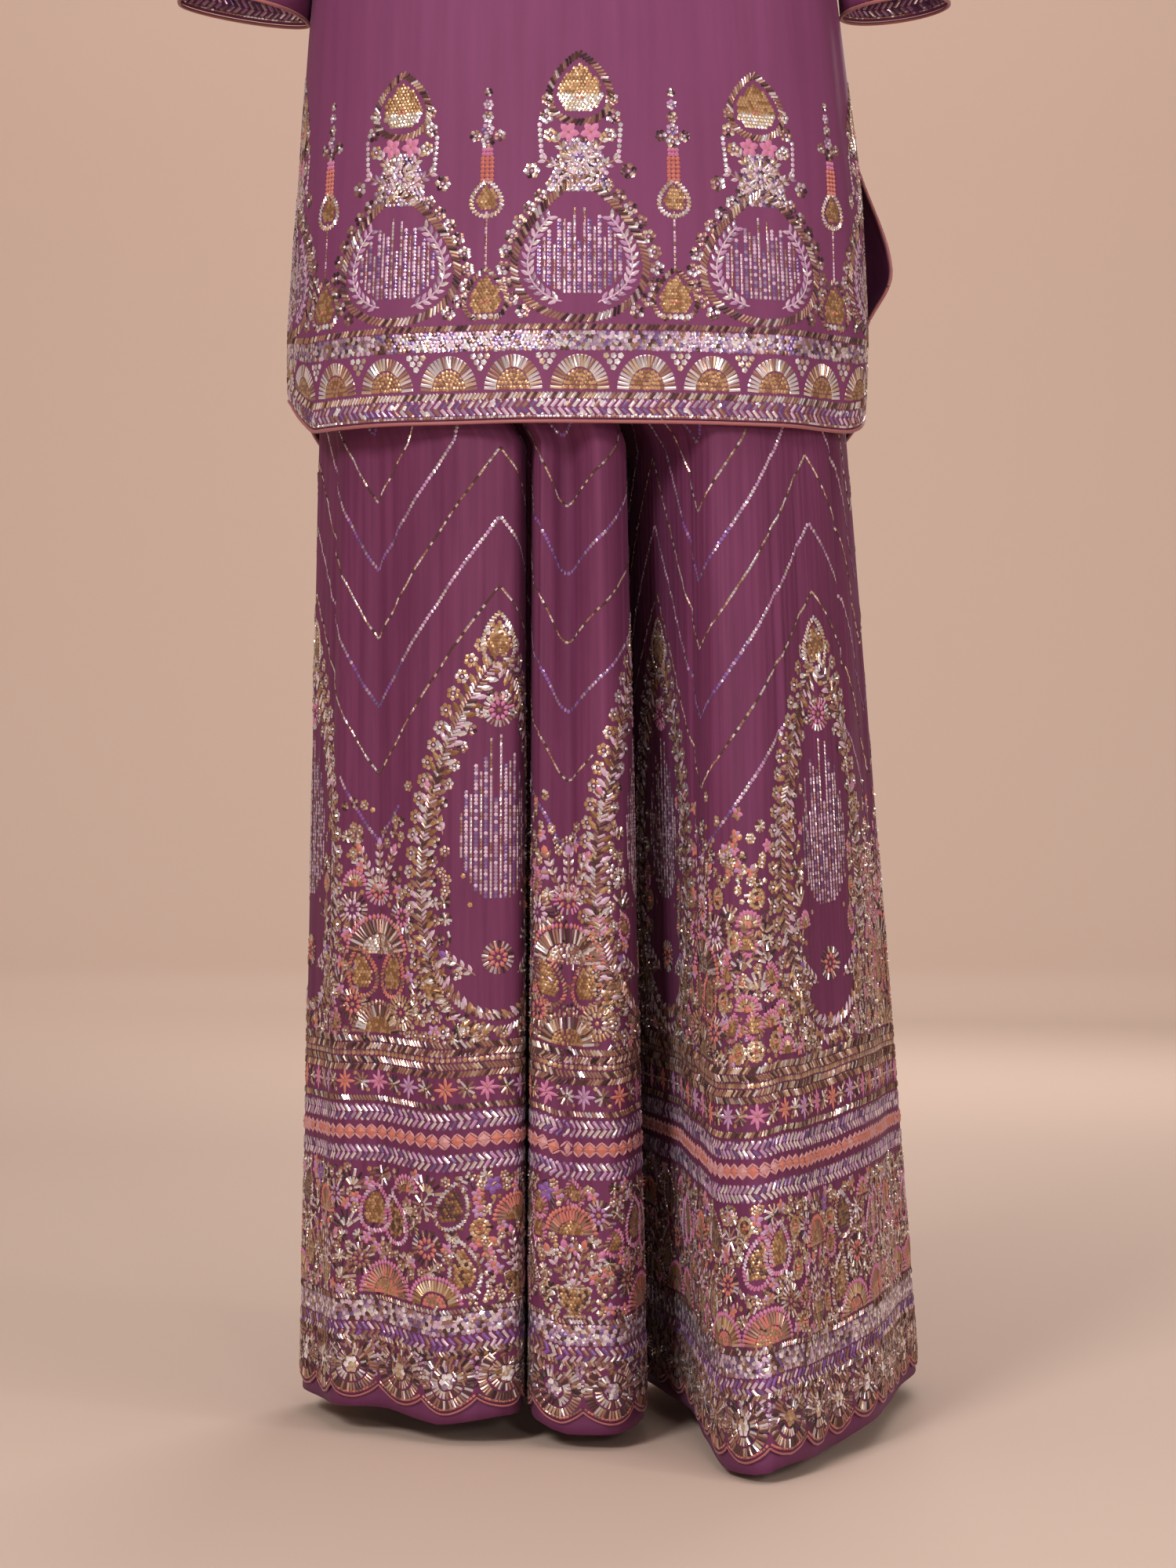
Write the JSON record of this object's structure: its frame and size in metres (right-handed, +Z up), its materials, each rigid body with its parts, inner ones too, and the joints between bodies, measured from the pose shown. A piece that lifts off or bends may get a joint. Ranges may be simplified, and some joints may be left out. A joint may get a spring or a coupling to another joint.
{
  "type": "palazzo suit",
  "caption": "Plum embroidered kurta with long sleeves and side slits, worn over wide pleated palazzo trousers with scalloped hems.",
  "frame": {"origin": "midway between the shoulder seams, where the wearer's shoulders hold the suit", "axes": "+Z up, +X towards the viewer's right, and the suit's front faces -Y"},
  "size_m": [0.5611, 0.452, 1.52],
  "materials": {
    "crepe": "soft crinkled crepe with a faint sheen",
    "lining": "smooth matt lining",
    "casing": "gathered matt casing",
    "piping": "wrapped thread with a satin sheen",
    "thread": "satin embroidery thread",
    "metal_beads": "bright plated beads and sequins"
  },
  "bodies": {
    "root": {"kurta_front": "crepe", "kurta_front_piping": "piping", "kurta_back": "crepe", "kurta_back_piping": "piping", "sleeve_left": "crepe", "sleeve_left_piping": "piping", "sleeve_right": "crepe", "sleeve_right_piping": "piping", "palazzo_left_front": "crepe", "palazzo_left_back": "crepe", "palazzo_left_lining_hem": "lining", "palazzo_right_front": "crepe", "palazzo_right_back": "crepe", "palazzo_right_lining_hem": "lining", "palazzo_waistband": "casing"}
  },
  "joints": []
}
